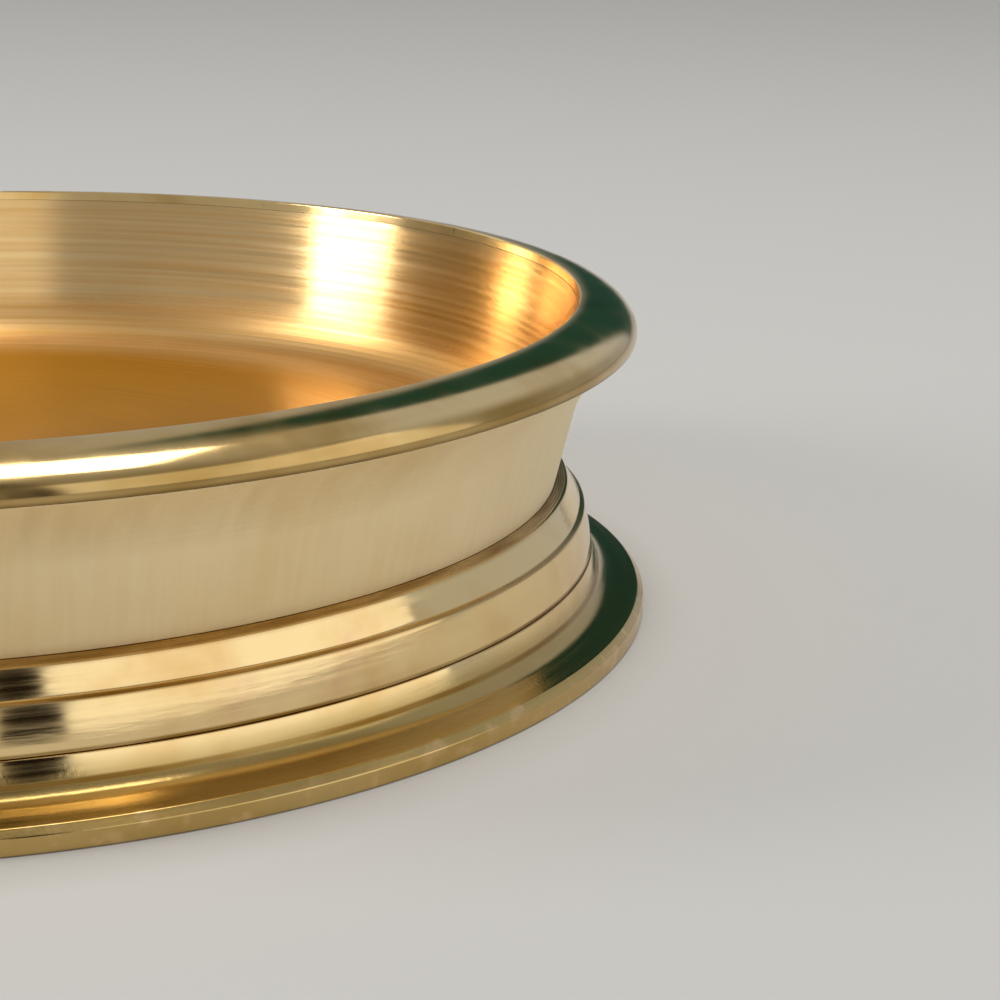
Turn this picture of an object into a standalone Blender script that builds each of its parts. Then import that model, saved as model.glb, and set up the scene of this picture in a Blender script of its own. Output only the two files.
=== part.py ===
"""Brass urli bowl: a flared bowl, its lip ring, a stepped collar and a wide foot ring, screwed together from below.

The axis is +Z and the bowl stands on z = 0. Every turned piece is one closed outline of corners (radius, height),
swept round the axis. Radii are chained inward from the foot, and heights are stacked upward from the table.
"""

import math

import bmesh
import bpy
from mathutils import Matrix, Vector

# ---- driving dimensions, metres ----
JOINT_GAP = 0.0003           # clearance left between two pieces that touch

FOOT_RADIUS = 0.1500         # edge of the foot flange, the widest part
FLANGE_REACH = 0.0107        # how far the flange stands out past the top of the plain band above it
FLANGE_EDGE = 0.0031         # height of the flange's upright edge
SHOULDER_RISE = 0.0013       # slanted shoulder over that edge
SHOULDER_WIDTH = 0.0016
PLAIN_BAND_HEIGHT = 0.00415  # the plain band, from the joint down to the cove
PLAIN_BAND_FLARE = 0.0011    # how much wider its foot is than its top
FOOT_COVE_WIDTH = 0.0033     # hollow curve from the band out to the flange's sloping top
FOOT_COVE_FALL = 0.00265
FOOT_COVE_DEPTH = 0.00043
FOOT_HEIGHT = 0.01235        # table to the joint under the collar
FOOT_WALL = 0.0058           # wall of the plain band
WEB_THICKNESS = 0.0050       # inner shelf that the screws pull on
WEB_MARGIN = 0.0017          # how far the shelf reaches inside the bowl's spigot

COLLAR_SETBACK = 0.0001      # collar's foot stands this far in from the band
COLLAR_HEIGHT = 0.01445      # joint over the foot to the ledge under the neck
STRIP_HEIGHT = 0.0017        # plain strip just above the joint
STRIP_TAPER = 0.0002
LOWER_BAND_TAPER = 0.0015
LOWER_BAND_HEIGHT = 0.0067
LOWER_BAND_BULGE = 0.00005
SMALL_LEDGE = 0.0010         # step between the two bands
UPPER_BAND_TAPER = 0.0026
LEDGE_WIDTH = 0.0025         # ledge at the foot of the neck
LEDGE_SLOPE = 0.0009
SEAT_WIDTH = 0.0036          # how far the neck's foot reaches in over the collar

NECK_HEIGHT = 0.0166         # straight part of the neck
NECK_TAPER = 0.0043          # how much wider its top is than its foot
COVE_HEIGHT = 0.0124         # hollow curve from the neck out to the lip
COVE_DEPTH = 0.0018
WALL_AT_FLOOR = 0.00235      # neck's foot to the inside wall, where that wall would meet the floor
INSIDE_TAPER = 0.0071        # how much wider the mouth is than the inside at the floor
INSIDE_FILLET = 0.0080       # round between the inside wall and the floor
FLOOR_RISE = 0.0021          # top of the floor over the foot of the neck
FLOOR_THICKNESS = 0.0032
SPIGOT_WIDTH = 0.0100        # ring under the floor that passes through the collar
UPSTAND_WIDTH = 0.0026       # top of the bowl's wall, inside the lip ring
RIM_SEAT_WIDTH = 0.0088      # flat seat under the lip ring

RIM_HEIGHT = 0.0080          # seat of the lip ring to its top
RIM_COVER = 0.0018           # metal of the lip ring that covers the top of the wall
LIP_WIDTH = 0.0116           # mouth to the nose, the widest part of the lip
NOSE_DROP = 0.0069           # top of the lip down to the nose
LIP_POWER = 1.053            # 1 would make the lip's section an ellipse, and a smaller power a fuller one
LIP_STEP = math.radians(15)

SCREW_DIAMETER = 0.0050
SCREW_HEAD_DIAMETER = 0.0095
SCREW_HEAD_RIM = 0.0004      # upright edge of the countersunk head
SCREW_ENGAGEMENT = 0.0080    # thread inside the bowl's spigot
SCREW_END_SPACE = 0.0010
SLOT_WIDTH = 0.0012
SLOT_DEPTH = 0.0013
SCREW_COUNT = 4

ROUND_SEGMENTS = 60          # facets round the bowl
SCREW_SEGMENTS = 20
EDGE_ROUND = 0.0004          # broken edge of a turned corner
FILLET_STEP = math.radians(46)

# ---- radii, from the foot inward and out again to the lip ----
band_radius = FOOT_RADIUS - FLANGE_REACH
strip_radius = band_radius - COLLAR_SETBACK
lower_band_top_radius = strip_radius - LOWER_BAND_TAPER
upper_band_foot_radius = lower_band_top_radius - SMALL_LEDGE
ledge_radius = upper_band_foot_radius - UPPER_BAND_TAPER
neck_foot_radius = ledge_radius - LEDGE_WIDTH
collar_bore_radius = neck_foot_radius - SEAT_WIDTH
spigot_radius = collar_bore_radius - JOINT_GAP
spigot_bore_radius = spigot_radius - SPIGOT_WIDTH
screw_circle_radius = spigot_radius - SPIGOT_WIDTH / 2
web_bore_radius = spigot_bore_radius - WEB_MARGIN
neck_top_radius = neck_foot_radius + NECK_TAPER
inside_floor_radius = neck_foot_radius - WALL_AT_FLOOR
mouth_radius = inside_floor_radius + INSIDE_TAPER

# ---- heights, from the table up ----
collar_foot_z = FOOT_HEIGHT + JOINT_GAP
collar_top_z = collar_foot_z + COLLAR_HEIGHT
neck_foot_z = collar_top_z + JOINT_GAP
neck_top_z = neck_foot_z + NECK_HEIGHT
floor_z = neck_foot_z + FLOOR_RISE
floor_under_z = floor_z - FLOOR_THICKNESS
rim_seat_z = neck_top_z + COVE_HEIGHT
rim_foot_z = rim_seat_z + JOINT_GAP
rim_top_z = rim_foot_z + RIM_HEIGHT
cover_under_z = rim_top_z - RIM_COVER
upstand_top_z = cover_under_z - JOINT_GAP

# ---- what the inside taper gives at other heights ----
inside_slope = INSIDE_TAPER / (rim_top_z - floor_z)


def inside_radius(height):
    """Radius of the inside wall at a height over the table."""
    return inside_floor_radius + inside_slope * (height - floor_z)


upstand_radius = inside_radius(upstand_top_z) + UPSTAND_WIDTH
rim_bore_radius = upstand_radius + JOINT_GAP
rim_seat_radius = rim_bore_radius + RIM_SEAT_WIDTH

# ---- outlines ----


def rounded(corners):
    """Outline of points from corners (radius, height, fillet), each fillet limited by the sides beside it."""
    outline = []
    count = len(corners)
    for index, (radius, height, fillet) in enumerate(corners):
        here = Vector((radius, height))
        before = Vector(corners[index - 1][:2]) - here
        after = Vector(corners[(index + 1) % count][:2]) - here
        if fillet == 0 or before.length == 0 or after.length == 0:
            outline.append(here)
            continue
        half_angle = before.angle(after) / 2
        turn = math.pi - 2 * half_angle
        if turn < math.radians(3):
            outline.append(here)
            continue
        reach = min(fillet / math.tan(half_angle), 0.45 * before.length, 0.45 * after.length)
        radius_used = reach * math.tan(half_angle)
        centre = here + (before.normalized() + after.normalized()).normalized() * (radius_used / math.sin(half_angle))
        start = here + before.normalized() * reach - centre
        end = here + after.normalized() * reach - centre
        steps = max(1, math.ceil(turn / FILLET_STEP))
        for step in range(steps + 1):
            share = step / steps
            ray = start * math.sin((1 - share) * turn) + end * math.sin(share * turn)
            outline.append(centre + ray / math.sin(turn) if turn < math.pi - 0.01 else centre + start.lerp(end, share))
    return outline


def bowed(start, end, bulge, steps):
    """Corners between two points on an arc that stands out to the left of the way from start to end."""
    start, end = Vector(start), Vector(end)
    chord = end - start
    side = Vector((-chord.y, chord.x)).normalized()
    radius = (chord.length ** 2 / 4 + bulge ** 2) / (2 * bulge)
    half = math.asin(min(1.0, chord.length / (2 * radius)))
    corners = []
    for step in range(1, steps):
        angle = half * (2 * step / steps - 1)
        along = 0.5 + math.sin(angle) / (2 * math.sin(half))
        lift = radius * (math.cos(angle) - math.cos(half))
        point = start + chord * along + side * lift
        corners.append((point.x, point.y, 0))
    return corners


# ---- Blender helpers ----


def brass(name, colour, roughness):
    material = bpy.data.materials.new(name)
    material.use_nodes = True
    shader = material.node_tree.nodes["Principled BSDF"]
    shader.inputs["Base Color"].default_value = (*colour, 1.0)
    shader.inputs["Metallic"].default_value = 1.0
    shader.inputs["Roughness"].default_value = roughness
    material.diffuse_color = (*colour, 1.0)
    return material


def new_object(name, mesh, material=None):
    obj = bpy.data.objects.new(name, mesh)
    bpy.context.scene.collection.objects.link(obj)
    if material:
        mesh.materials.append(material)
        mesh.shade_smooth()
        mesh.set_sharp_from_angle(angle=math.radians(25))
    return obj


def turned_mesh(name, outline, segments, closed=True):
    """Sweeps an outline in the XZ plane round the Z axis. An open outline starts and ends on the axis."""
    work = bmesh.new()
    rim = [work.verts.new((point.x, 0, point.y)) for point in outline]
    edges = [work.edges.new(pair) for pair in zip(rim, rim[1:])]
    if closed:
        edges.append(work.edges.new((rim[-1], rim[0])))
    bmesh.ops.spin(work, geom=rim + edges, cent=(0, 0, 0), axis=(0, 0, 1), angle=math.tau,
                   steps=segments, use_merge=True, use_duplicate=False)
    bmesh.ops.remove_doubles(work, verts=work.verts, dist=1e-6)
    bmesh.ops.recalc_face_normals(work, faces=work.faces)
    mesh = bpy.data.meshes.new(name)
    work.to_mesh(mesh)
    work.free()
    return mesh


def hidden_cutter(name, mesh, place):
    cutter = new_object(name, mesh)
    cutter.matrix_world = place
    cutter.hide_render = True
    cutter.display_type = "WIRE"
    return cutter


def cut(target, cutter):
    modifier = target.modifiers.new("cut_" + cutter.name, "BOOLEAN")
    modifier.operation = "DIFFERENCE"
    modifier.solver = "EXACT"
    modifier.object = cutter


def screw_places():
    """One placement for each screw, on its circle under the bowl's spigot."""
    for index in range(SCREW_COUNT):
        angle = math.tau * (index + 0.5) / SCREW_COUNT
        yield index, Matrix.Rotation(angle, 4, "Z") @ Matrix.Translation((screw_circle_radius, 0, 0))


# ---- pieces ----


def bowl_shell(material):
    """Neck, flat floor, and the spigot under it: one casting, turned inside and out."""
    neck_top = (neck_top_radius, neck_top_z)
    cove_end = (rim_seat_radius, rim_seat_z)
    outline = rounded([
        (0, floor_z, 0),
        (inside_floor_radius, floor_z, INSIDE_FILLET),
        (inside_radius(upstand_top_z), upstand_top_z, 0),
        (upstand_radius, upstand_top_z, 0),
        (upstand_radius, rim_seat_z, 0),
        (*cove_end, 0),
        *bowed(cove_end, neck_top, -COVE_DEPTH, 5),
        (*neck_top, 0),
        (neck_foot_radius, neck_foot_z, 0),
        (spigot_radius, neck_foot_z, 0),
        (spigot_radius, collar_foot_z, 0),
        (spigot_bore_radius, collar_foot_z, 0),
        (spigot_bore_radius, floor_under_z, 0.002),
        (0, floor_under_z, 0),
    ])
    obj = new_object("bowl_shell", turned_mesh("bowl_shell", outline, ROUND_SEGMENTS, closed=False), material)
    hole_radius = SCREW_DIAMETER / 2 + JOINT_GAP
    hole_top = collar_foot_z + SCREW_ENGAGEMENT + SCREW_END_SPACE
    hole = [Vector(corner) for corner in (
        (0, FOOT_HEIGHT), (hole_radius, FOOT_HEIGHT), (hole_radius, hole_top), (0, hole_top + hole_radius / 2))]
    for index, place in screw_places():
        mesh = turned_mesh("tapped_hole", hole, SCREW_SEGMENTS, closed=False)
        cut(obj, hidden_cutter(f"tapped_hole_{index + 1}", mesh, place))
    return obj


def rim_ring(material):
    """Heavy polished lip, seated on the flare of the bowl and closed over the top of its wall."""
    lip = []
    for step in range(1, 7):
        turn = step * LIP_STEP
        reach = LIP_WIDTH * math.sin(turn) ** LIP_POWER
        fall = NOSE_DROP * (1 - max(0.0, math.cos(turn)) ** LIP_POWER)
        lip.append((mouth_radius + reach, rim_top_z - fall, 0))
    outline = rounded([
        (mouth_radius, rim_top_z, EDGE_ROUND),
        *lip,
        (rim_seat_radius, rim_foot_z, 0),
        (rim_bore_radius, rim_foot_z, 0),
        (rim_bore_radius, cover_under_z, 0),
        (inside_radius(cover_under_z), cover_under_z, 0),
    ])
    return new_object("rim_ring", turned_mesh("rim_ring", outline, ROUND_SEGMENTS), material)


def stepped_collar(material):
    """Ring of two flared bands, clamped between the bowl and the foot."""
    strip_top = (strip_radius - STRIP_TAPER, collar_foot_z + STRIP_HEIGHT)
    band_top = (lower_band_top_radius, collar_foot_z + STRIP_HEIGHT + LOWER_BAND_HEIGHT)
    outline = rounded([
        (collar_bore_radius, collar_top_z, 0),
        (neck_foot_radius, collar_top_z, 0),
        (ledge_radius, collar_top_z - LEDGE_SLOPE, EDGE_ROUND),
        (upper_band_foot_radius, band_top[1] + SMALL_LEDGE / 2, 0),
        (*band_top, EDGE_ROUND),
        *bowed(band_top, strip_top, LOWER_BAND_BULGE, 4),
        (*strip_top, 0),
        (strip_radius, collar_foot_z, EDGE_ROUND),
        (collar_bore_radius, collar_foot_z, 0),
    ])
    return new_object("stepped_collar", turned_mesh("stepped_collar", outline, ROUND_SEGMENTS), material)


def foot_ring(material):
    """Plain band and wide flange that the bowl stands on, with an inner shelf for the screws."""
    flange_top_z = FLANGE_EDGE + SHOULDER_RISE
    web_under_z = FOOT_HEIGHT - WEB_THICKNESS
    wall_radius = band_radius - FOOT_WALL
    band_foot = (band_radius + PLAIN_BAND_FLARE, FOOT_HEIGHT - PLAIN_BAND_HEIGHT)
    cove_end = (band_foot[0] + FOOT_COVE_WIDTH, band_foot[1] - FOOT_COVE_FALL)
    outline = rounded([
        (web_bore_radius, FOOT_HEIGHT, 0),
        (band_radius, FOOT_HEIGHT, EDGE_ROUND),
        (*band_foot, 0),
        *bowed(band_foot, cove_end, -FOOT_COVE_DEPTH, 4),
        (*cove_end, 0),
        (FOOT_RADIUS - SHOULDER_WIDTH, flange_top_z, EDGE_ROUND),
        (FOOT_RADIUS, FLANGE_EDGE, 0),
        (FOOT_RADIUS, 0, 0),
        (wall_radius, 0, 0),
        (wall_radius, web_under_z, 0.0015),
        (web_bore_radius, web_under_z, 0),
    ])
    obj = new_object("foot_ring", turned_mesh("foot_ring", outline, ROUND_SEGMENTS), material)
    hole_radius = SCREW_DIAMETER / 2 + JOINT_GAP
    sink_radius = SCREW_HEAD_DIAMETER / 2 + JOINT_GAP
    sink_top = web_under_z + SCREW_HEAD_RIM + sink_radius - hole_radius
    hole = [Vector(corner) for corner in (
        (0, web_under_z - SCREW_HEAD_RIM), (sink_radius, web_under_z - SCREW_HEAD_RIM),
        (sink_radius, web_under_z + SCREW_HEAD_RIM), (hole_radius, sink_top),
        (hole_radius, FOOT_HEIGHT + JOINT_GAP), (0, FOOT_HEIGHT + JOINT_GAP))]
    for index, place in screw_places():
        mesh = turned_mesh("countersink", hole, SCREW_SEGMENTS, closed=False)
        cut(obj, hidden_cutter(f"countersink_{index + 1}", mesh, place))
    return obj


def foot_screws(material):
    """Slotted countersunk screws, driven up from below."""
    head_radius = SCREW_HEAD_DIAMETER / 2
    shank_radius = SCREW_DIAMETER / 2
    head_z = FOOT_HEIGHT - WEB_THICKNESS
    cone_top_z = head_z + SCREW_HEAD_RIM + head_radius - shank_radius
    tip_z = collar_foot_z + SCREW_ENGAGEMENT
    tip_chamfer = shank_radius / 4
    outline = [Vector(corner) for corner in (
        (0, head_z), (head_radius, head_z), (head_radius, head_z + SCREW_HEAD_RIM), (shank_radius, cone_top_z),
        (shank_radius, tip_z - tip_chamfer), (shank_radius - tip_chamfer, tip_z), (0, tip_z))]
    for index, place in screw_places():
        name = f"foot_screw_{index + 1}"
        obj = new_object(name, turned_mesh(name, outline, SCREW_SEGMENTS, closed=False), material)
        obj.matrix_world = place
        work = bmesh.new()
        bmesh.ops.create_cube(work, size=1.0)
        bmesh.ops.scale(work, verts=work.verts, vec=(SLOT_WIDTH, 2 * SCREW_HEAD_DIAMETER, 2 * SLOT_DEPTH))
        bmesh.ops.translate(work, verts=work.verts, vec=(0, 0, head_z))
        mesh = bpy.data.meshes.new("screw_slot")
        work.to_mesh(mesh)
        work.free()
        cut(obj, hidden_cutter(f"screw_slot_{index + 1}", mesh, place))


def build():
    for obj in list(bpy.data.objects):
        bpy.data.objects.remove(obj)
    polished = brass("mirror_polished_brass", (0.62, 0.43, 0.17), 0.12)
    satin = brass("satin_turned_brass", (0.60, 0.45, 0.23), 0.35)
    fastener = brass("fastener_brass", (0.52, 0.36, 0.14), 0.30)
    bowl_shell(satin)
    rim_ring(polished)
    stepped_collar(polished)
    foot_ring(polished)
    foot_screws(fastener)


build()
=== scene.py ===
import math

import bpy
import numpy as np
from mathutils import Matrix, Vector, noise


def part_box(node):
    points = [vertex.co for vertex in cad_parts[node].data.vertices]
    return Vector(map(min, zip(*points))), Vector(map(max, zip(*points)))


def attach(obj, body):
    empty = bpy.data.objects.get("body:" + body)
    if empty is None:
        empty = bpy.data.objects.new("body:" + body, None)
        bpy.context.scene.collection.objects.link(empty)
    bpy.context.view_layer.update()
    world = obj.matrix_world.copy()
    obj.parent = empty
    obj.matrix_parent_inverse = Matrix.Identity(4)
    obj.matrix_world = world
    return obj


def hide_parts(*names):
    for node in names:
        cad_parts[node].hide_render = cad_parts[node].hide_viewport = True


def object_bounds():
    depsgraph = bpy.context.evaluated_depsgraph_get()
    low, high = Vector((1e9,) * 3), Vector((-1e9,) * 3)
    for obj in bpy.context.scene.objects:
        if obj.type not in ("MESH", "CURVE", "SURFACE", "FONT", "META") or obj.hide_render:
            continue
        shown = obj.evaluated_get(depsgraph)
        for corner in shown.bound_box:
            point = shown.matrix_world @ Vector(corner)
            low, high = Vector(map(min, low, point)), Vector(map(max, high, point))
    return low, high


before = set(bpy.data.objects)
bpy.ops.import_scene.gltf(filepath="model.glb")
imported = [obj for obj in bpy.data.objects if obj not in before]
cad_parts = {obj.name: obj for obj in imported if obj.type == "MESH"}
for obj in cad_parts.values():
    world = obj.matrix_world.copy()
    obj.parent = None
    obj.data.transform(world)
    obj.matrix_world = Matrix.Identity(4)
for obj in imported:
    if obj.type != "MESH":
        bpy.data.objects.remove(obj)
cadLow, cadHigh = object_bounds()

mm = 0.001


def extent(node):
    # widest radius, lowest and highest level of a node, in mm
    low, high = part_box(node)
    return high[0] / mm, low[2] / mm, high[2] / mm


footRadius, _, footHigh = extent("foot_ring")
collarRadius, collarLow, collarHigh = extent("stepped_collar")
bowlRadius, bowlLow, bowlHigh = extent("bowl_shell")
rimRadius, rimLow, rimHigh = extent("rim_ring")
floorRise = 2.4    # the bowl's floor over the collar's top, mm
bowlFloor = collarHigh + floorRise
seam = 0.06        # closed joint between two rings, mm
flangeEdge = 3.1   # upright edge of the foot's flange, mm

# a round takes at most this share of a side, and makes a step every stepTurn degrees; a corner that turns
# less than leastTurn degrees stays as it is
rounding = {"sideShare": 0.45, "leastTurn": 2, "stepTurn": 11}
# a side longer than shortSide gets an edge this far from each end, mm
support = {"shortSide": 0.9, "guard": 0.12}
# how the hand-held tool strays: worked out at every fourth step round, its noise scaled round, up and outward
hand = {"every": 4, "aroundScale": 1.9, "upScale": 26, "outScale": 22}
smoothUpTo = 40   # degrees between faces that still shade as one
past = 1.0        # how far a cutter stands out of the metal, mm


def roundCorners(corners, closed):
    # corners are (radius, height, round, finish) in mm, the finish being that of the side that starts there
    points = []
    count = len(corners)
    for i, (r, z, turnRadius, finish) in enumerate(corners):
        here = Vector((r, z))
        isEnd = not closed and i in (0, count - 1)
        if turnRadius == 0 or isEnd:
            points.append((r, z, finish))
            continue
        toPrev = Vector(corners[i - 1][:2]) - here
        toNext = Vector(corners[(i + 1) % count][:2]) - here
        half = toPrev.angle(toNext) / 2
        turn = math.pi - 2 * half
        if turn < math.radians(rounding["leastTurn"]):
            points.append((r, z, finish))
            continue
        share = rounding["sideShare"]
        reach = min(turnRadius / math.tan(half), share * toPrev.length, share * toNext.length)
        radius = reach * math.tan(half)
        middle = (toPrev.normalized() + toNext.normalized()).normalized()
        centre = here + middle * (radius / math.sin(half))
        a = here + toPrev.normalized() * reach - centre
        b = here + toNext.normalized() * reach - centre
        steps = max(2, math.ceil(turn / math.radians(rounding["stepTurn"])))
        for s in range(steps + 1):
            t = s / steps
            ray = (a * math.sin((1 - t) * turn) + b * math.sin(t * turn)) / math.sin(turn)
            points.append((centre.x + ray.x, centre.y + ray.y, corners[i - 1][3] if t < 0.5 else finish))
    return points


def bow(start, end, bulge, steps, finish):
    # corners between two points, on an arc that stands out to the left of the way from start to end
    a, b = Vector(start), Vector(end)
    chord = b - a
    side = Vector((-chord.y, chord.x)).normalized()
    radius = (chord.length ** 2 / 4 + bulge ** 2) / (2 * bulge)
    half = math.asin(chord.length / (2 * radius))
    corners = []
    for s in range(1, steps):
        angle = half * (2 * s / steps - 1)
        p = a + chord * (0.5 + math.sin(angle) / (2 * math.sin(half)))
        p += side * radius * (math.cos(angle) - math.cos(half))
        corners.append((p.x, p.y, 0, finish))
    return corners


def scored(start, end, first, pitch, count, depth, finish):
    # fine V grooves cut square into the side from start to end, the metal lying to its right
    a, b = Vector(start), Vector(end)
    along = (b - a).normalized()
    inward = Vector((along.y, -along.x))
    halfWide = 0.32 * pitch
    corners = []
    for i in range(count):
        middle = first + i * pitch
        for offset, sink in ((-halfWide, 0), (0, depth), (halfWide, 0)):
            p = a + along * (middle + offset) + inward * sink
            corners.append((p.x, p.y, 0, finish))
    return corners


def supported(points, closed, longest):
    # adds points along the sides, with one close to each end so that shading stays crisp at a corner
    out = []
    count = len(points)
    for i in range(count if closed else count - 1):
        r, z, finish = points[i]
        r2, z2, _ = points[(i + 1) % count]
        length = math.hypot(r2 - r, z2 - z)
        shares = [0]
        if length > support["shortSide"]:
            guard = support["guard"] / length
            inner = max(1, math.ceil((length - 2 * support["guard"]) / longest))
            shares += [guard + (1 - 2 * guard) * s / inner for s in range(inner + 1)]
        for t in shares:
            out.append((r + (r2 - r) * t, z + (z2 - z) * t, finish))
    if not closed:
        out.append(points[-1])
    return out


def turned(name, corners, finishes, segments=480, closed=True, longest=2.0, waver=0.0, seed=0.0):
    # sweeps an outline round Z, an open one from axis to axis; waver is how far the tool strayed, in mm
    points = supported(roundCorners(corners, closed), closed, longest)
    if not closed:
        points = points[1:-1]   # the two ends are made as fans below
    count = len(points)
    r = np.array([p[0] for p in points]) * mm
    z = np.array([p[1] for p in points]) * mm
    angle = np.arange(segments) * (math.tau / segments)
    grid = np.empty((count, segments, 3))
    grid[:, :, 0] = r[:, None] * np.cos(angle)
    grid[:, :, 1] = r[:, None] * np.sin(angle)
    grid[:, :, 2] = z[:, None]
    if waver:
        stray = np.empty((count, segments))
        known = np.arange(0, segments, hand["every"])
        for j in range(count):
            level = seed + (z[j] * hand["upScale"] + r[j] * hand["outScale"])
            for k in known:
                across = math.cos(angle[k]) * hand["aroundScale"]
                deep = math.sin(angle[k]) * hand["aroundScale"]
                stray[j, k] = noise.noise(Vector((across, deep, level)))
            ends, values = np.append(known, segments), np.append(stray[j, known], stray[j, 0])
            stray[j] = np.interp(np.arange(segments), ends, values)
        grid[:, :, 0] += np.cos(angle) * stray * waver * mm
        grid[:, :, 1] += np.sin(angle) * stray * waver * mm
    verts = grid.reshape(-1, 3).tolist()
    faces, slots = [], []
    for j in range(count if closed else count - 1):
        a, b = j * segments, (j + 1) % count * segments
        for k in range(segments):
            k2 = (k + 1) % segments
            faces.append((a + k, a + k2, b + k2, b + k))
            slots.append(points[j][2])
    if not closed:
        first, last = len(verts), len(verts) + 1
        verts += [(0, 0, float(z[0])), (0, 0, float(z[-1]))]
        for k in range(segments):
            k2 = (k + 1) % segments
            faces.append((first, k2, k))
            slots.append(points[0][2])
            end = (count - 1) * segments
            faces.append((last, end + k, end + k2))
            slots.append(points[-1][2])
    return newPiece(name, verts, faces, finishes, slots)


def newPiece(name, verts, faces, finishes, slots):
    # slots gives the finish of each face, counted from 0
    mesh = bpy.data.meshes.new(name)
    mesh.from_pydata(verts, [], faces)
    for finish in finishes:
        mesh.materials.append(finish)
    mesh.polygons.foreach_set("material_index", slots)
    volume = 0.0   # below nothing when the faces look inward
    for polygon in mesh.polygons:
        volume += polygon.center.dot(polygon.normal) * polygon.area
    if volume < 0:
        mesh.flip_normals()
    mesh.shade_smooth()
    mesh.set_sharp_from_angle(angle=math.radians(smoothUpTo))
    mesh.update()
    piece = bpy.data.objects.new(name, mesh)
    bpy.context.scene.collection.objects.link(piece)
    return piece


def cutAway(piece, cutter):
    # takes the cutter's shape out of the piece, then removes the cutter
    cut = piece.modifiers.new("cut", "BOOLEAN")
    cut.operation = "DIFFERENCE"
    cut.solver = "EXACT"
    cut.object = cutter
    shown = piece.evaluated_get(bpy.context.evaluated_depsgraph_get())
    mesh = bpy.data.meshes.new_from_object(shown)
    piece.modifiers.clear()
    old = piece.data
    piece.data = mesh
    bpy.data.meshes.remove(old)
    bpy.data.objects.remove(cutter)


def linear(hexColour):
    # an sRGB hex colour as linear red, green, blue and alpha
    parts = [int(hexColour[i:i + 2], 16) / 255 for i in (1, 3, 5)]
    return [c / 12.92 if c <= 0.04045 else ((c + 0.055) / 1.055) ** 2.4 for c in parts] + [1.0]


def addNode(tree, kind, inputs=None, out=0, **settings):
    # a new node with its settings, and a value or link for each input, by name or number; gives one output
    node = tree.nodes.new("ShaderNode" + kind)
    for key, value in settings.items():
        setattr(node, key, value)
    for key, value in (inputs or {}).items():
        if isinstance(value, bpy.types.NodeSocket):
            tree.links.new(value, node.inputs[key])
        else:
            node.inputs[key].default_value = value
    return node.outputs[out]


def section(tree):
    # (radius, height) of the point being shaded, and its direction from the axis
    place = addNode(tree, "TexCoord", out="Object")
    flat = addNode(tree, "VectorMath", {0: place, 1: (1, 1, 0)}, operation="MULTIPLY")
    radius = addNode(tree, "VectorMath", {0: flat}, out="Value", operation="LENGTH")
    height = addNode(tree, "SeparateXYZ", {0: place}, out="Z")
    around = addNode(tree, "VectorMath", {0: flat}, operation="NORMALIZE")
    return radius, height, around


noiseSpan = (0.3, 0.7)   # what the noise seldom leaves
patternRadius = 140.0    # mm from the axis, where a pattern's length round it is true


def turnedNoise(tree, across, along, low, high, shift=0.0, detail=3.0):
    # noise drawn out round the axis as a lathe tool leaves it, from low to high; across and along in mm
    radius, height, around = section(tree)
    rise = addNode(tree, "Math", {0: height, 1: 1000 / across, 2: shift}, operation="MULTIPLY_ADD")
    spun = addNode(tree, "VectorMath", {0: around, "Scale": patternRadius / along}, operation="SCALE")
    risen = addNode(tree, "CombineXYZ", {2: rise})
    vector = addNode(tree, "VectorMath", {0: spun, 1: risen}, operation="ADD")
    w = addNode(tree, "Math", {0: radius, 1: 1000 / across}, operation="MULTIPLY")
    grain = addNode(tree, "TexNoise", {"Vector": vector, "W": w, "Scale": 1.0, "Detail": detail},
                    noise_dimensions="4D")
    return addNode(tree, "MapRange", {0: grain, 1: noiseSpan[0], 2: noiseSpan[1], 3: low, 4: high},
                   interpolation_type="SMOOTHSTEP")


def patches(tree, size, start, full, share=1.0, shift=0.0, detail=4.0):
    # soft patches about size mm across, from nothing at noise level start to share at level full
    place = addNode(tree, "TexCoord", out="Object")
    shifted = addNode(tree, "VectorMath", {0: place, 1: (shift, shift, shift)}, operation="ADD")
    cloud = addNode(tree, "TexNoise", {"Vector": shifted, "Scale": 1000 / size, "Detail": detail})
    return addNode(tree, "MapRange", {0: cloud, 1: start, 2: full, 4: share}, interpolation_type="SMOOTHSTEP")


cornerShadeCore = 0.3   # share of its reach where the painted corner shade is full


def paintedCornerShade(tree, places):
    # painted shade darkening the inner corners; places are (radius, height, reach) in mm
    radius, height, _ = section(tree)
    here = addNode(tree, "CombineXYZ", {0: radius, 1: height})
    cornerShadeMask = 0.0
    for r, z, reach in places:
        away = addNode(tree, "VectorMath", {0: here, 1: (r * mm, z * mm, 0)}, out="Value",
                       operation="DISTANCE")
        near = addNode(tree, "MapRange", {0: away, 1: reach * mm, 2: cornerShadeCore * reach * mm},
                       interpolation_type="SMOOTHSTEP")
        cornerShadeMask = addNode(tree, "Math", {0: cornerShadeMask, 1: near}, operation="MAXIMUM")
    broken = turnedNoise(tree, across=3, along=24, low=0.55, high=1.0, shift=12.0)
    return addNode(tree, "Math", {0: cornerShadeMask, 1: broken}, operation="MULTIPLY")


def newFinish(name):
    material = bpy.data.materials.new(name)
    material.use_nodes = True
    shader = material.node_tree.nodes["Principled BSDF"]
    return material, material.node_tree, shader


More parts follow.
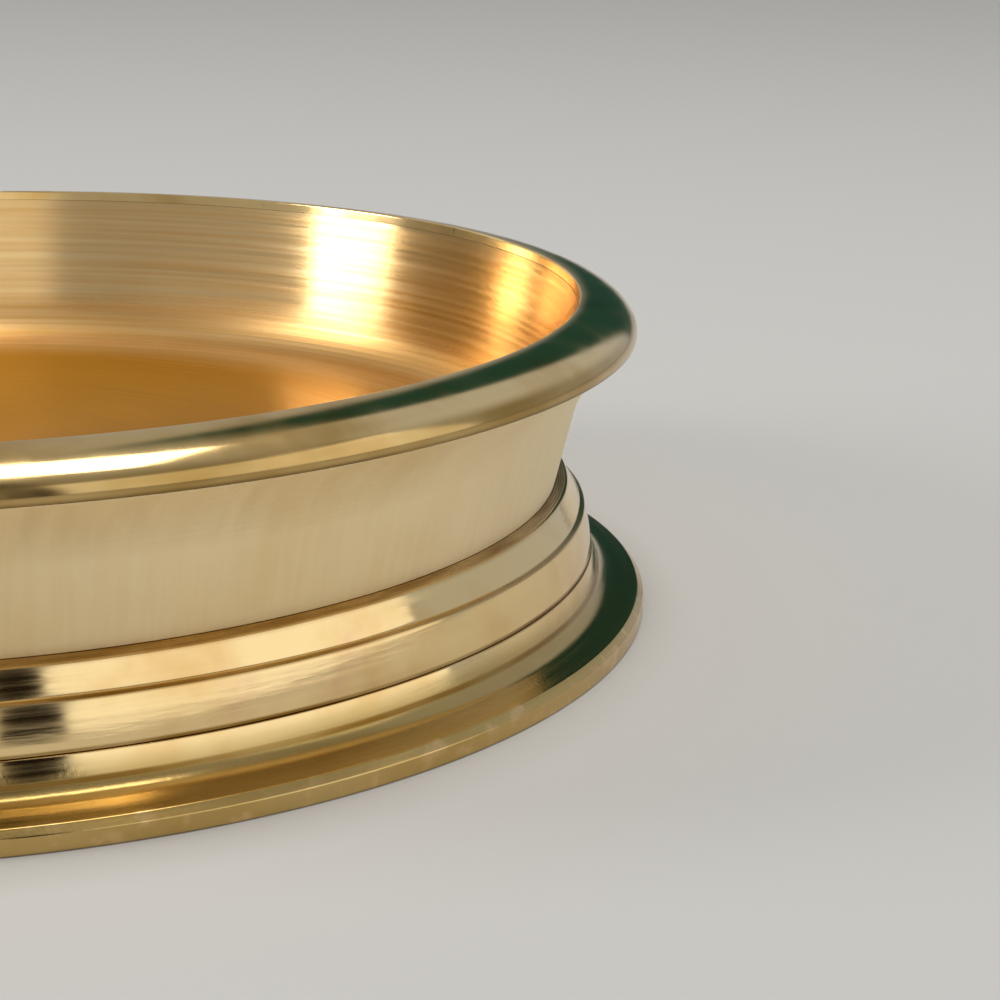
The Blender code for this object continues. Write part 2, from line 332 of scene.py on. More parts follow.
def lathedMetal(tree, shader, colour, roughness, relief, anisotropy):
    # the tool's lines run round the axis, so glints are drawn out across them; relief is in metres.
    # a real tool leaves a line every 0.1 mm; they are drawn 0.5 to 0.9 mm apart, so that they show
    tangent = addNode(tree, "Tangent", direction_type="RADIAL", axis="Z")
    bump = addNode(tree, "Bump", {"Height": relief, "Strength": 1.0, "Distance": 1.0})
    shader.inputs["Metallic"].default_value = 1.0
    shader.inputs["Anisotropic"].default_value = anisotropy
    shader.inputs["Anisotropic Rotation"].default_value = 0.25   # a quarter turn
    links = {"Base Color": colour, "Roughness": roughness, "Normal": bump, "Tangent": tangent}
    for socket, value in links.items():
        tree.links.new(value, shader.inputs[socket])


# the pit colour also paints shade into the corner under the lip; the lip-underside colour is painted shade
lipFinish = {"brass": "#F4D69C", "film": "#D6AE68", "underLipShade": "#A98748", "pit": "#5A4320",
             "roughness": (0.12, 0.21), "anisotropy": 0.15, "lineDepth": 0.0004, "waveDepth": 0.004,
             "underLipShadeFrom": 4.7, "underLipShadeFull": 2.9,                 # mm over the lip's underside
             "pitCell": 3.5, "pitEdge": (0.10, 0.02), "pitDepth": 0.05,           # mm; shares of a cell; mm
             "crackCell": 7.0, "crackEdge": (0.022, 0.008), "crackDepth": 0.012,
             "cornerShadeIn": 0.5, "cornerShadeReach": 1.0, "markAndShadeStrength": 0.75}


def mirrorPolishedBrass():
    # buffed on a wheel: soft bright lights with faint buffing lines, a few casting pits and hairline marks,
    # olive painted shade under the curve of the lip, and dark painted shade in the corner below it
    finish = lipFinish
    material, tree, shader = newFinish("mirror_polished_brass")
    _, height, _ = section(tree)
    place = addNode(tree, "TexCoord", out="Object")
    filmed = patches(tree, size=20, start=0.46, full=0.72, share=0.75)
    colour = addNode(tree, "Mix", {0: filmed, 6: linear(finish["brass"]), 7: linear(finish["film"])}, out=2,
                     data_type="RGBA")
    # painted shade: olive on the lip's underside, standing for the dark floor it reflects, broken up by
    # streaks
    under = addNode(tree, "MapRange", {0: height, 1: (rimLow + finish["underLipShadeFrom"]) * mm,
                                       2: (rimLow + finish["underLipShadeFull"]) * mm},
                    interpolation_type="SMOOTHSTEP")
    streaks = turnedNoise(tree, across=8, along=34, low=0.5, high=1.0, shift=5.0)
    under = addNode(tree, "Math", {0: under, 1: streaks}, operation="MULTIPLY")
    colour = addNode(tree, "Mix", {0: under, 6: colour, 7: linear(finish["underLipShade"])}, out=2, data_type="RGBA")

    cells = addNode(tree, "TexVoronoi", {"Vector": place, "Scale": 1000 / finish["pitCell"]}, out="Distance")
    pit = addNode(tree, "MapRange", {0: cells, 1: finish["pitEdge"][0], 2: finish["pitEdge"][1]})
    pitted = patches(tree, size=16, start=0.58, full=0.64, shift=4.0)
    pit = addNode(tree, "Math", {0: pit, 1: pitted}, operation="MULTIPLY")
    borders = addNode(tree, "TexVoronoi", {"Vector": place, "Scale": 1000 / finish["crackCell"]},
                      feature="DISTANCE_TO_EDGE")
    crack = addNode(tree, "MapRange", {0: borders, 1: finish["crackEdge"][0], 2: finish["crackEdge"][1]})
    cracked = patches(tree, size=13, start=0.66, full=0.72, shift=6.0)
    crack = addNode(tree, "Math", {0: crack, 1: cracked}, operation="MULTIPLY")
    marksAndShade = addNode(tree, "Math", {0: pit, 1: crack}, operation="MAXIMUM")
    # painted shade in the corner where the lip meets the bowl
    cornerShadeMask = paintedCornerShade(tree, [(rimRadius - finish["cornerShadeIn"], rimLow, finish["cornerShadeReach"])])
    marksAndShade = addNode(tree, "Math", {0: marksAndShade, 1: cornerShadeMask}, operation="MAXIMUM")
    marksAndShade = addNode(tree, "Math", {0: marksAndShade, 1: finish["markAndShadeStrength"]}, operation="MULTIPLY")
    # pits and hairline marks, and the painted corner shade, all take the dark pit colour
    colour = addNode(tree, "Mix", {0: marksAndShade, 6: colour, 7: linear(finish["pit"])}, out=2, data_type="RGBA")

    roughness = patches(tree, size=11, start=0.35, full=0.8, shift=9.0)
    roughness = addNode(tree, "MapRange", {0: roughness, 3: finish["roughness"][0],
                                           4: finish["roughness"][1]})
    lines = turnedNoise(tree, across=0.7, along=60, low=0, high=finish["lineDepth"] * mm)
    waves = turnedNoise(tree, across=9, along=30, low=0, high=finish["waveDepth"] * mm, shift=2.0, detail=1.0)
    relief = addNode(tree, "Math", {0: lines, 1: waves}, operation="ADD")
    relief = addNode(tree, "Math", {0: pit, 1: -finish["pitDepth"] * mm, 2: relief}, operation="MULTIPLY_ADD")
    relief = addNode(tree, "Math", {0: crack, 1: -finish["crackDepth"] * mm, 2: relief},
                     operation="MULTIPLY_ADD")
    lathedMetal(tree, shader, colour, roughness, relief, finish["anisotropy"])
    return material


neckFinish = {"brass": "#FBE9C0", "warm": "#F0D6A0", "roughness": (0.52, 0.64), "anisotropy": 0.55,
              "lineDepth": 0.0028, "streakDepth": 0.0008}


def satinTurnedBrass():
    # left from the tool and rubbed with fine abrasive: soft beige sheen, hair-fine rings, faint upright rubs
    finish = neckFinish
    material, tree, shader = newFinish("satin_turned_brass")
    clouds = patches(tree, size=48, start=0.35, full=0.7, share=0.7, shift=2.0)
    rubs = turnedNoise(tree, across=26, along=1.6, low=0, high=0.18)
    warmth = addNode(tree, "Math", {0: clouds, 1: rubs}, operation="ADD")
    colour = addNode(tree, "Mix", {0: warmth, 6: linear(finish["brass"]), 7: linear(finish["warm"])}, out=2,
                     data_type="RGBA")
    roughness = turnedNoise(tree, 20, 2.2, *finish["roughness"], shift=7.0)
    rings = turnedNoise(tree, across=0.55, along=45, low=0, high=finish["lineDepth"] * mm)
    streaks = turnedNoise(tree, across=40, along=1.1, low=0, high=finish["streakDepth"] * mm, shift=3.0)
    relief = addNode(tree, "Math", {0: rings, 1: streaks}, operation="ADD")
    lathedMetal(tree, shader, colour, roughness, relief, finish["anisotropy"])
    return material


# the floor colour is painted amber shade for the bowl's floor and the round below the wall
insideFinish = {"brass": "#F5D7A4", "deep": "#DDB270", "floor": "#CF9424", "roughness": (0.15, 0.23),
                "floorRoughness": 0.26, "anisotropy": 0.6, "lineDepth": 0.0010, "waveDepth": 0.004,
                "floorShadeEdge": 20.5, "floorShadeWide": 26.0,   # mm in from the bowl's edge, and on to the full painted amber
                "cornerTop": 11.0, "cornerFull": 3.0, "cornerFloorShade": 0.3}   # mm over the floor; share


def brushedInsideBrass():
    # inside of the bowl, brushed round on the lathe: streaks run level and lights stand up as soft columns;
    # the floor is painted a deeper amber, standing for light bounced between the brass walls, and is duller
    finish = insideFinish
    material, tree, shader = newFinish("brushed_inside_brass")
    radius, height, _ = section(tree)
    streaks = turnedNoise(tree, across=1.3, along=110, low=0, high=0.6, detail=4.0)
    clouds = patches(tree, size=60, start=0.35, full=0.7, share=0.4, shift=5.0)
    share = addNode(tree, "Math", {0: streaks, 1: clouds}, operation="ADD")
    colour = addNode(tree, "Mix", {0: share, 6: linear(finish["brass"]), 7: linear(finish["deep"])}, out=2,
                     data_type="RGBA")
    # painted shade: deep amber towards the middle of the floor, standing for light bounced between the walls
    floorShadeEdge = bowlRadius - finish["floorShadeEdge"]
    film = addNode(tree, "MapRange", {0: radius, 1: floorShadeEdge * mm, 2: (floorShadeEdge - finish["floorShadeWide"]) * mm},
                   interpolation_type="SMOOTHSTEP")
    # the round between wall and floor was only hand-rubbed, so it is duller, and it takes a little painted
    # amber shade
    corner = addNode(tree, "MapRange", {0: height, 1: (bowlFloor + finish["cornerTop"]) * mm,
                                        2: (bowlFloor + finish["cornerFull"]) * mm},
                     interpolation_type="SMOOTHSTEP")
    cornerFloorShade = addNode(tree, "Math", {0: corner, 1: finish["cornerFloorShade"]}, operation="MULTIPLY")
    film = addNode(tree, "Math", {0: film, 1: cornerFloorShade}, operation="MAXIMUM")
    colour = addNode(tree, "Mix", {0: film, 6: colour, 7: linear(finish["floor"])}, out=2, data_type="RGBA")
    wall = turnedNoise(tree, 0.9, 70, *finish["roughness"], shift=5.0)
    roughness = addNode(tree, "Math", {0: corner, 1: finish["floorRoughness"], 2: wall},
                        operation="MULTIPLY_ADD")
    lines = turnedNoise(tree, across=0.6, along=60, low=0, high=finish["lineDepth"] * mm)
    waves = turnedNoise(tree, across=7, along=60, low=0, high=finish["waveDepth"] * mm, shift=2.0, detail=1.0)
    relief = addNode(tree, "Math", {0: lines, 1: waves}, operation="ADD")
    lathedMetal(tree, shader, colour, roughness, relief, finish["anisotropy"])
    return material


bandFinish = {"brass": "#F4D69C", "film": "#DDB472", "copper": "#E0AE88", "cornerShadeColour": "#8A6424",
              "footFilm": "#BC9E5C", "flangeTopShade": "#8F7A46", "worn": "#E6BE8A",
              "roughness": (0.06, 0.15), "filmRoughness": 0.10, "cornerShadeRoughness": 0.25, "anisotropy": 0.4,
              "lineDepth": 0.0010, "chatterDepth": 0.007, "grainDepth": 0.006,
              "filmFull": 4.6, "filmShare": 0.9,                 # mm below the foot ring's top; share
              "wornFrom": 2.6, "wornFull": 1.2,                  # mm in from the foot's edge
              "topFrom": 0.5, "topFull": 1.7, "topShare": 0.4,   # mm over the flange's edge; share
              # painted shade in the corners: mm in from the ring's edge, mm down from its top or foot, and
              # its reach
              "ledgeShade": (6.6, 0, 2.6), "stepShade": (1.7, 5.8, 0.9), "undercutShade": (0, 0, 0.7),
              "bandShade": (9.5, 4.3, 0.8)}


def turnedBandBrass():
    # collar and foot, turned and buffed: clear reflections combed by the tool's lines, painted shade in the
    # corners, a duller golden film over the flange with painted shade on top, its shoulder worn bright by
    # handling
    finish = bandFinish
    material, tree, shader = newFinish("turned_buffed_brass")
    radius, height, _ = section(tree)
    filmed = patches(tree, size=20, start=0.46, full=0.74, share=0.7, shift=3.0)
    colour = addNode(tree, "Mix", {0: filmed, 6: linear(finish["brass"]), 7: linear(finish["film"])}, out=2,
                     data_type="RGBA")
    blushed = patches(tree, size=22, start=0.58, full=0.72, share=0.5, shift=8.0)
    colour = addNode(tree, "Mix", {0: blushed, 6: colour, 7: linear(finish["copper"])}, out=2,
                     data_type="RGBA")

    film = addNode(tree, "MapRange", {0: height, 1: footHigh * mm, 2: (footHigh - finish["filmFull"]) * mm,
                                      4: finish["filmShare"]}, interpolation_type="SMOOTHSTEP")
    streaks = turnedNoise(tree, across=9, along=40, low=0.75, high=1.0, shift=15.0)
    film = addNode(tree, "Math", {0: film, 1: streaks}, operation="MULTIPLY")
    worn = addNode(tree, "MapRange", {0: radius, 1: (footRadius - finish["wornFrom"]) * mm,
                                      2: (footRadius - finish["wornFull"]) * mm},
                   interpolation_type="SMOOTHSTEP")
    rubbed = patches(tree, size=5, start=0.54, full=0.70, share=0.35, shift=13.0)
    worn = addNode(tree, "Math", {0: worn, 1: rubbed}, operation="MULTIPLY")
    keep = addNode(tree, "Math", {0: 1.0, 1: worn}, operation="SUBTRACT")
    film = addNode(tree, "Math", {0: film, 1: keep}, operation="MULTIPLY")
    colour = addNode(tree, "Mix", {0: film, 6: colour, 7: linear(finish["footFilm"])}, out=2,
                     data_type="RGBA")
    # painted shade: the flange's top face darker olive, standing for the dull reflections it shows
    top = addNode(tree, "MapRange", {0: height, 1: (flangeEdge + finish["topFrom"]) * mm,
                                     2: (flangeEdge + finish["topFull"]) * mm, 4: finish["topShare"]})
    top = addNode(tree, "Math", {0: film, 1: top}, operation="MULTIPLY")
    colour = addNode(tree, "Mix", {0: top, 6: colour, 7: linear(finish["flangeTopShade"])}, out=2, data_type="RGBA")
    colour = addNode(tree, "Mix", {0: worn, 6: colour, 7: linear(finish["worn"])}, out=2, data_type="RGBA")

    # painted shade in the inner corners and in the joint under the collar, which also dulls the sheen there
    places = []
    for edge, level, (inward, down, reach) in ((collarRadius, collarHigh, finish["ledgeShade"]),
                                               (collarRadius, collarHigh, finish["stepShade"]),
                                               (collarRadius, collarLow, finish["undercutShade"]),
                                               (footRadius, footHigh, finish["bandShade"])):
        places.append((edge - inward, level - down, reach))
    cornerShadeMask = paintedCornerShade(tree, places)
    colour = addNode(tree, "Mix", {0: cornerShadeMask, 6: colour, 7: linear(finish["cornerShadeColour"])}, out=2, data_type="RGBA")

    roughness = turnedNoise(tree, 1.1, 60, *finish["roughness"], shift=2.0, detail=4.0)
    roughness = addNode(tree, "Math", {0: film, 1: finish["filmRoughness"], 2: roughness},
                        operation="MULTIPLY_ADD")
    roughness = addNode(tree, "Math", {0: cornerShadeMask, 1: finish["cornerShadeRoughness"], 2: roughness},
                        operation="MULTIPLY_ADD")
    lines = turnedNoise(tree, across=0.5, along=26, low=0, high=finish["lineDepth"] * mm)
    chatter = turnedNoise(tree, across=1.6, along=13, low=0, high=finish["chatterDepth"] * mm, shift=6.0,
                          detail=2.0)
    relief = addNode(tree, "Math", {0: lines, 1: chatter}, operation="ADD")
    grain = patches(tree, size=0.9, start=0.3, full=0.7, share=finish["grainDepth"] * mm, shift=1.0)
    grain = addNode(tree, "Math", {0: grain, 1: film}, operation="MULTIPLY")
    relief = addNode(tree, "Math", {0: relief, 1: grain}, operation="ADD")
    lathedMetal(tree, shader, colour, roughness, relief, finish["anisotropy"])
    return material


castFinish = {"brass": "#B08A4E", "dark": "#8A6A38", "roughness": (0.5, 0.72), "grain": 0.9,
              "grainDepth": 0.09}


def castUndersideBrass():
    # under the bowl the sand casting is left as it came: dull, grainy and darker
    finish = castFinish
    material, tree, shader = newFinish("sand_cast_brass")
    mottle = patches(tree, size=9, start=0.2, full=0.8)
    colour = addNode(tree, "Mix", {0: mottle, 6: linear(finish["brass"]), 7: linear(finish["dark"])}, out=2,
                     data_type="RGBA")
    roughness = patches(tree, size=4, start=0.3, full=0.7)
    roughness = addNode(tree, "MapRange", {0: roughness, 3: finish["roughness"][0],
                                           4: finish["roughness"][1]})
    relief = patches(tree, size=finish["grain"], start=0.2, full=0.8, share=finish["grainDepth"] * mm)
    lathedMetal(tree, shader, colour, roughness, relief, 0.0)
    return material


screwFinish = {"brass": "#D8B36C", "dull": "#9C7840", "roughness": (0.24, 0.42), "grain": 0.35,
               "grainDepth": 0.006}


def screwBrass():
    # machine screws straight from the bar: fine face-turning, dulled by handling
    finish = screwFinish
    material, tree, shader = newFinish("machined_screw_brass")
    dulled = patches(tree, size=3.5, start=0.4, full=0.7)
    colour = addNode(tree, "Mix", {0: dulled, 6: linear(finish["brass"]), 7: linear(finish["dull"])}, out=2,
                     data_type="RGBA")
    roughness = patches(tree, size=1.2, start=0.3, full=0.7)
    roughness = addNode(tree, "MapRange", {0: roughness, 3: finish["roughness"][0],
                                           4: finish["roughness"][1]})
    relief = patches(tree, size=finish["grain"], start=0.3, full=0.7, share=finish["grainDepth"] * mm)
    lathedMetal(tree, shader, colour, roughness, relief, 0.0)
    return material


mirrorBrass = mirrorPolishedBrass()
satinBrass = satinTurnedBrass()
insideBrass = brushedInsideBrass()
bandBrass = turnedBandBrass()
castBrass = castUndersideBrass()
fastenerBrass = screwBrass()
print("materials made")


# lengths in the pieces' dictionaries are in mm; names that end in In are distances inward
bowl = {"neckFootIn": 16.0, "neckTopIn": 11.7, "straight": 16.6, "cove": 1.8, "coveSteps": 12,
        "neckRound": 8.0, "wallAtFloor": 2.35, "wallTop": 2.6, "floorThick": 3.2, "insideRound": 8.0,
        "spigotIn": 3.9, "spigotWide": 10.0, "underRound": 2.0, "edge": 0.4, "waver": 0.035}

screw = {"head": 9.5, "shank": 5.0, "headEdge": 0.4, "play": 0.2, "holeDepth": 9.5,
         "places": (45, 135, 225, 315)}   # degrees


def screwHoles(piece, outline):
    # the same turned hole at each screw, its outline in (radius, height)
    circle = bowlRadius - bowl["neckFootIn"] - bowl["spigotIn"] - bowl["spigotWide"] / 2
    for degrees in screw["places"]:
        cutter = turned("hole", [(r, z, 0, 0) for r, z in outline], [castBrass], segments=48, closed=False,
                        longest=20.0)
        a = math.radians(degrees)
        cutter.location = (math.cos(a) * circle * mm, math.sin(a) * circle * mm, 0)
        cutAway(piece, cutter)


def bowlShell():
    neckFoot = bowlRadius - bowl["neckFootIn"]
    neckTop = (bowlRadius - bowl["neckTopIn"], collarHigh + seam + bowl["straight"])
    insideFoot = neckFoot - bowl["wallAtFloor"]
    flare = (rimMouth - insideFoot) / (rimHigh - bowlFloor)
    seatZ = rimLow - seam
    upstand = insideFoot + flare * (bowlHigh - bowlFloor)
    spigot = neckFoot - bowl["spigotIn"]
    inside, outside, under = 0, 1, 2
    # outline up the inside, down the neck and back under the floor: radius, height, round, finish
    corners = [
        (0, bowlFloor, 0, inside),
        (insideFoot, bowlFloor, bowl["insideRound"], inside),
        (upstand, bowlHigh, 0.04, under),
        (upstand + bowl["wallTop"], bowlHigh, 0.2, under),
        (upstand + bowl["wallTop"], seatZ, 0, under),
        (bowlRadius, seatZ, 0.15, outside),
        *bow((bowlRadius, seatZ), neckTop, -bowl["cove"], bowl["coveSteps"], outside),
        (*neckTop, bowl["neckRound"], outside),
        (neckFoot, collarHigh + seam, 0.12, under),
        (spigot, collarHigh + seam, 0, under),
        (spigot, bowlLow, bowl["edge"], under),
        (spigot - bowl["spigotWide"], bowlLow, bowl["edge"], under),
        (spigot - bowl["spigotWide"], bowlFloor - bowl["floorThick"], bowl["underRound"], under),
        (0, bowlFloor - bowl["floorThick"], 0, under),
    ]
    shell = turned("bowlShell", corners, [insideBrass, satinBrass, castBrass], segments=400, closed=False,
                   longest=6.0, waver=bowl["waver"], seed=3.0)
    shank = screw["shank"] / 2 + screw["play"]
    deep = bowlLow + screw["holeDepth"]
    screwHoles(shell, [(0, bowlLow - past), (shank, bowlLow - past), (shank, deep), (0, deep + shank / 2)])
    return shell


rim = {"mouthIn": 11.6, "edgeRound": 0.35, "noseDrop": 6.9, "fullness": 1.9,
       "lipFrom": 6, "lipTo": 112, "lipStep": 3, "lipOver": 0.1,   # degrees round the lip; mm over its foot
       "lean": 0.4, "wallGap": 0.05, "coverIn": 0.35, "tuckIn": 0.12, "footRound": 0.3, "waver": 0.03}
rimMouth = rimRadius - rim["mouthIn"]


def rimRing():
    # the lip's section is a superellipse: nearly flat at the mouth, upright at the nose, then tucked in below
    width, drop = rimRadius - rimMouth, rim["noseDrop"]
    power = 2 / rim["fullness"]
    lip = []
    for degrees in range(rim["lipFrom"], rim["lipTo"], rim["lipStep"]):
        a = math.radians(degrees)
        out = width * math.sin(a) ** power
        up = math.copysign(drop * abs(math.cos(a)) ** power, math.cos(a))
        lip.append((rimMouth + out, rimHigh - drop + up, 0, 0))
    lip = [place for place in lip if place[1] > rimLow + rim["lipOver"]]
    # the bowl's wall leans in a little below the mouth, and the ring closes round it and over its top
    bore = rimMouth - rim["lean"] + bowl["wallTop"] + rim["wallGap"]
    # outline from the mouth round the lip: radius, height, round, finish
    corners = [
        (rimMouth, rimHigh, rim["edgeRound"], 0),
        *lip,
        (lip[-1][0] - rim["tuckIn"], rimLow, rim["footRound"], 0),
        (bore, rimLow, 0, 0),
        (bore, bowlHigh + seam, 0, 0),
        (rimMouth - rim["coverIn"], bowlHigh + seam, 0, 0),
    ]
    return turned("rimRing", corners, [mirrorBrass], segments=600, longest=0.8, waver=rim["waver"], seed=11.0)


collar = {"strip": 1.7, "stripTaper": 0.2, "lowerBand": 6.7, "lowerTaper": 1.5, "bulge": 0.05,
          "bulgeSteps": 8, "step": 1.0, "upperTaper": 2.6, "ledge": 2.5, "ledgeFall": 0.9, "boreIn": 11.2,
          "grooves": 4, "groovePitch": 0.5, "grooveDepth": 0.08, "edge": 0.2, "waver": 0.03}


def steppedCollar():
    # from the top: grooved ledge, flared band, step, rounder lower band, undercut strip
    stripTop = (collarRadius - collar["stripTaper"], collarLow + collar["strip"])
    bandTop = (collarRadius - collar["lowerTaper"], stripTop[1] + collar["lowerBand"])
    bandFoot = (bandTop[0] - collar["step"], bandTop[1] + collar["step"] / 2)
    ledge = (bandFoot[0] - collar["upperTaper"], collarHigh - collar["ledgeFall"])
    bore = collarRadius - collar["boreIn"]
    ledgeIn = (ledge[0] - collar["ledge"], collarHigh)
    # outline from the bore's top outward and down: radius, height, round, finish
    corners = [
        (bore, collarHigh, collar["edge"], 0),
        (*ledgeIn, 0, 0),
        *scored(ledgeIn, ledge, collar["groovePitch"], collar["groovePitch"], collar["grooves"],
                collar["grooveDepth"], 0),
        (*ledge, 0.35, 0),
        (*bandFoot, 0.7, 0),
        (*bandTop, 0.45, 0),
        *bow(bandTop, stripTop, collar["bulge"], collar["bulgeSteps"], 0),
        (*stripTop, 0.12, 0),
        (collarRadius, footHigh + seam, 0.22, 0),
        (bore, footHigh + seam, collar["edge"], 0),
    ]
    return turned("steppedCollar", corners, [bandBrass], longest=1.2, waver=collar["waver"], seed=23.0)


foot = {"topIn": 10.7, "bandOut": 1.1, "bandHeight": 4.15, "coveOut": 3.3, "coveFall": 2.65, "coveSag": 0.43,
        "coveSteps": 12, "shoulderRise": 1.3, "shoulderWide": 1.3, "wallIn": 16.5,
        "web": 5.0, "boreIn": 34.0, "castIn": 1.5, "webRound": 1.5, "wearIn": 0.05, "waver": 0.03}


def footRing():
    # from the top: plain band, cove, sloping flange with a worn shoulder, and a shelf inside for the screws
    top = (footRadius - foot["topIn"], footHigh)
    bandFoot = (top[0] + foot["bandOut"], footHigh - foot["bandHeight"])
    cove = (bandFoot[0] + foot["coveOut"], bandFoot[1] - foot["coveFall"])
    shoulder = (footRadius - foot["shoulderWide"], flangeEdge + foot["shoulderRise"])
    webUnder = footHigh - foot["web"]
    inner = footRadius - foot["wallIn"]
    bore = footRadius - foot["boreIn"]
    # outline from the bore's top outward and down: radius, height, round, finish (0 turned, 1 cast)
    corners = [
        (bore, footHigh, 0.2, 1),
        (top[0] - foot["castIn"], footHigh, 0, 0),
        (*top, 0.3, 0),
        (*bandFoot, 0.25, 0),
        *bow(bandFoot, cove, -foot["coveSag"], foot["coveSteps"], 0),
        (*cove, 0, 0),
        (*shoulder, 0.5, 0),
        (footRadius - foot["wearIn"], flangeEdge, 0.4, 0),
        (footRadius - foot["wearIn"], 0, 0.3, 0),
        (inner, 0, 0.4, 1),
        (inner, webUnder, foot["webRound"], 1),
        (bore, webUnder, 0.3, 1),
    ]
    ring = turned("footRing", corners, [bandBrass, castBrass], longest=1.2, waver=foot["waver"], seed=31.0)
    shank, head = screw["shank"] / 2 + screw["play"], screw["head"] / 2 + screw["play"]
    cone = webUnder + screw["headEdge"]
    screwHoles(ring, [(0, webUnder - past), (head, webUnder - past), (head, cone),
                      (shank, cone + head - shank), (shank, footHigh + past), (0, footHigh + past)])
    return ring


bowlPiece = bowlShell()
rimPiece = rimRing()
collarPiece = steppedCollar()
footPiece = footRing()
for piece, node, slotName in ((bowlPiece, "bowl_shell", "satin_brass"),
                              (rimPiece, "rim_ring", "polished_brass"),
                              (collarPiece, "stepped_collar", "polished_brass"),
                              (footPiece, "foot_ring", "polished_brass")):
    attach(piece, "root")
    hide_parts(node)
print("turned rings made")

# the screws stay as the frame has them, with their own finish
for number in (1, 2, 3, 4):
    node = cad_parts[f"foot_screw_{number}"]
    node.data.materials.clear()
    node.data.materials.append(fastenerBrass)


stage = {"floorHalf": 9.0, "floorDrop": 0.0001, "floor": "#D0D1D4", "floorRoughness": 0.85, "floorShine": 0.2,
         # name: azimuth (from the viewer's side, positive to the right), elevation, distance, width, height,
         # watts, colour
         "lamps": {"keyLeft": (-96, 22, 2.0, 0.68, 0.95, 15, "#FFFAF0"),
                   "kickerBack": (-146, 22, 2.0, 0.42, 0.7, 0.85, "#FFF3DE"),
                   "overhead": (78, 81.5, 1.7, 0.8, 0.85, 11.5, "#FFFAF0")},
         "straightDown": 80,   # a lamp higher than this, in degrees, faces straight down
         # what the brass mirrors between the walls, what shows above the floor, and how bright both are
         "glow": "#9C9A94", "seen": "#E4E4E1", "strength": 1.1,
         # azimuth from, to, softness; elevation from, to, softness; colour
         "walls": ((-28, 9.6, 3, -12, 45, 6, "#E0D9CA"),      # pale wall behind the camera
                   (9.6, 19.6, 0.6, -12, 62, 4, "#18130E"),   # dark gap beside the reflector
                   (20, 89, 0.7, -12, 43, 2, "#FFFFFF"),      # big white reflector on the right
                   (89, 146, 1.5, -12, 50, 5, "#ACB0B6"),     # its shaded return
                   (146, 166, 3, -12, 54, 12, "#1F3F38"),     # dark green drape behind, on the right
                   (-130, -104, 4, -12, 62, 6, "#807B72"),    # shadow between the two lamps on the left
                   (-178, -154, 4, -12, 50, 6, "#D8CCB4"))}   # lit wall far behind, on the left


def paleFloorPaint():
    # matt pale grey paint: an even floor with no clear reflection
    material, _, shader = newFinish("pale_studio_floor")
    shader.inputs["Base Color"].default_value = linear(stage["floor"])
    shader.inputs["Roughness"].default_value = stage["floorRoughness"]
    shader.inputs["Specular IOR Level"].default_value = stage["floorShine"]
    return material


def floor():
    half = stage["floorHalf"]
    verts = [(-half, -half, 0), (half, -half, 0), (half, half, 0), (-half, half, 0)]
    mesh = bpy.data.meshes.new("paleFloor")
    mesh.from_pydata(verts, [], [(0, 1, 2, 3)])
    mesh.materials.append(paleFloorPaint())
    piece = bpy.data.objects.new("paleFloor", mesh)
    piece.location.z = cadLow[2] - stage["floorDrop"]
    bpy.context.scene.collection.objects.link(piece)


def softbox(name, azimuth, elevation, distance, width, height, power, colour):
    a, e = math.radians(azimuth), math.radians(elevation)
    place = Vector((math.sin(a) * math.cos(e), -math.cos(a) * math.cos(e), math.sin(e))) * distance
    lamp = bpy.data.lights.new(name, "AREA")
    lamp.shape = "RECTANGLE"
    lamp.size, lamp.size_y = width, height
    lamp.energy = power
    lamp.color = linear(colour)[:3]
    box = bpy.data.objects.new(name, lamp)
    box.location = place
    if elevation < stage["straightDown"]:
        box.rotation_euler = (-place).to_track_quat("-Z", "Y").to_euler()
    box.visible_camera = False
    bpy.context.scene.collection.objects.link(box)


def between(tree, value, low, high, soft):
    # 1 between low and high, falling off over soft to each side
    rise = addNode(tree, "MapRange", {0: value, 1: low - soft, 2: low + soft},
                   interpolation_type="SMOOTHSTEP")
    fall = addNode(tree, "MapRange", {0: value, 1: high + soft, 2: high - soft},
                   interpolation_type="SMOOTHSTEP")
    return addNode(tree, "Math", {0: rise, 1: fall}, operation="MULTIPLY")


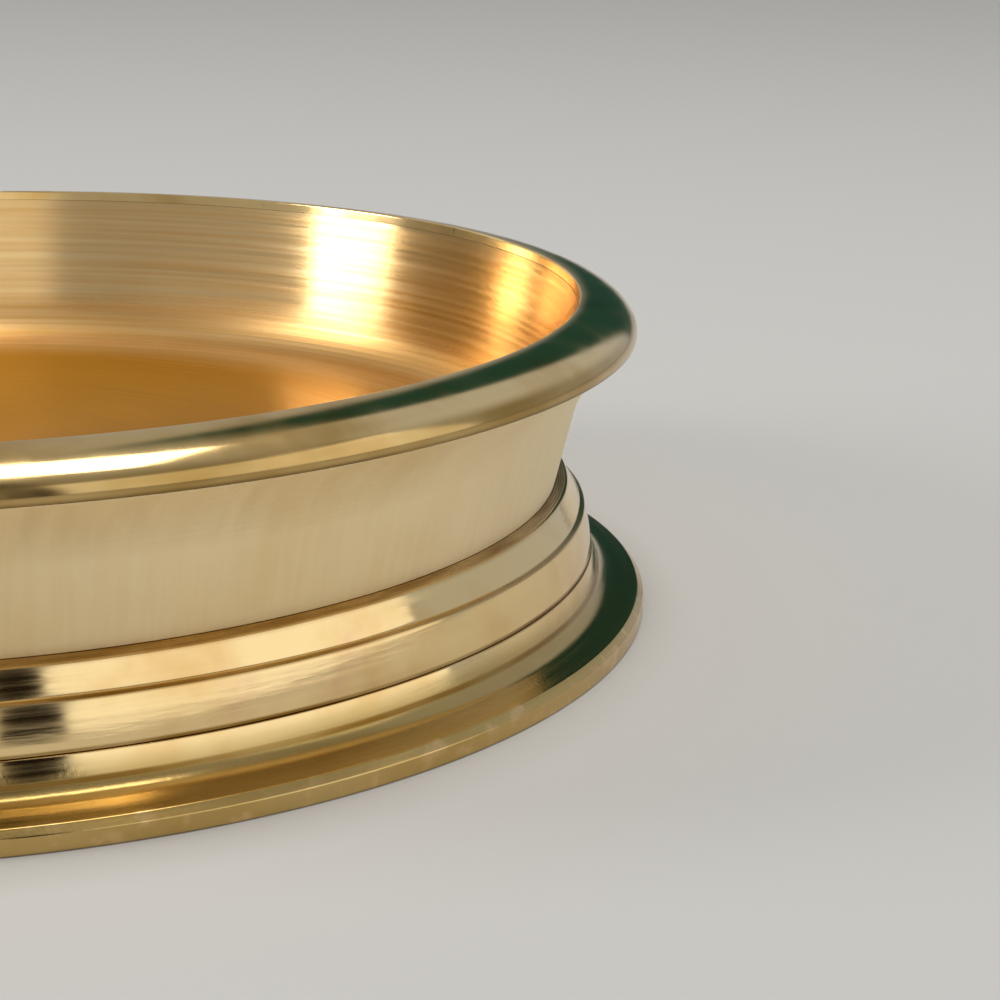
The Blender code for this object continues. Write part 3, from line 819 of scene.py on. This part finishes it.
def room():
    # plain studio walls by the way they are seen from the bowl: azimuth 0 is towards the viewer
    world = bpy.data.worlds.new("studio")
    bpy.context.scene.world = world
    world.use_nodes = True
    tree = world.node_tree
    way = addNode(tree, "TexCoord", out="Generated")
    x, y, z = (addNode(tree, "SeparateXYZ", {0: way}, out=axis) for axis in ("X", "Y", "Z"))
    toCamera = addNode(tree, "Math", {0: y, 1: -1.0}, operation="MULTIPLY")
    azimuth = addNode(tree, "Math", {0: x, 1: toCamera}, operation="ARCTAN2")
    azimuth = addNode(tree, "Math", {0: azimuth}, operation="DEGREES")
    elevation = addNode(tree, "Math", {0: z}, operation="ARCSINE")
    elevation = addNode(tree, "Math", {0: elevation}, operation="DEGREES")
    glow = linear(stage["glow"])
    for left, right, softSide, low, high, softEdge, colour in stage["walls"]:
        mask = addNode(tree, "Math", {0: between(tree, azimuth, left, right, softSide),
                                      1: between(tree, elevation, low, high, softEdge)}, operation="MULTIPLY")
        glow = addNode(tree, "Mix", {0: mask, 6: glow, 7: linear(colour)}, out=2, data_type="RGBA")
    seen = addNode(tree, "LightPath", out="Is Camera Ray")
    glow = addNode(tree, "Mix", {0: seen, 6: glow, 7: linear(stage["seen"])}, out=2, data_type="RGBA")
    background = tree.nodes["Background"]
    tree.links.new(glow, background.inputs["Color"])
    background.inputs["Strength"].default_value = stage["strength"]


# metres from the axis and over the floor; degrees; mm of lens and sensor; metres
view = {"distance": 0.5650, "height": 0.1671, "turnRight": 12.28, "tiltDown": 14.84, "roll": 0.11,
        "lens": 99.07, "sensor": 36.0, "nearest": 0.01}


def camera():
    # a seated viewer's height, looking down past the right side of the bowl
    data = bpy.data.cameras.new("camera")
    data.lens = view["lens"]
    data.sensor_width = view["sensor"]
    data.clip_start = view["nearest"]
    shot = bpy.data.objects.new("camera", data)
    turn = (Matrix.Rotation(math.radians(-view["turnRight"]), 4, "Z")
            @ Matrix.Rotation(math.radians(90 - view["tiltDown"]), 4, "X")
            @ Matrix.Rotation(math.radians(view["roll"]), 4, "Z"))
    shot.matrix_world = Matrix.Translation((0, -view["distance"], view["height"])) @ turn
    bpy.context.scene.collection.objects.link(shot)
    bpy.context.scene.camera = shot


floor()
for name, setting in stage["lamps"].items():
    softbox(name, *setting)
room()
camera()
bpy.context.scene.view_settings.view_transform = "Standard"
print("stage, light and camera set")
